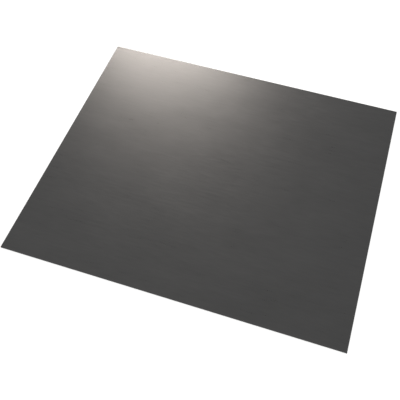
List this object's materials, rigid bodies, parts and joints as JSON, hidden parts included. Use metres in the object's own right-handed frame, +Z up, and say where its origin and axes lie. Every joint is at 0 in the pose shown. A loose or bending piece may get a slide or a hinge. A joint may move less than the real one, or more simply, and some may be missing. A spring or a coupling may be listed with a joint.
{
  "type": "steel plate",
  "caption": "Flat rectangular plate of thin rolled mild steel with square corners and sheared edges, raw stock to cut, bend, drill, weld or use as a cover or base.",
  "frame": {"origin": "centre of the lower face, on the surface that the plate lies on", "axes": "+X along the long sides and the rolling direction, +Y along the short sides, +Z up out of the upper face, where the sheared edges roll over"},
  "size_m": [0.7, 0.6, 0.002],
  "materials": {
    "rolled_steel": "satin"
  },
  "bodies": {
    "root": {"steel_plate": "rolled_steel"}
  },
  "joints": []
}
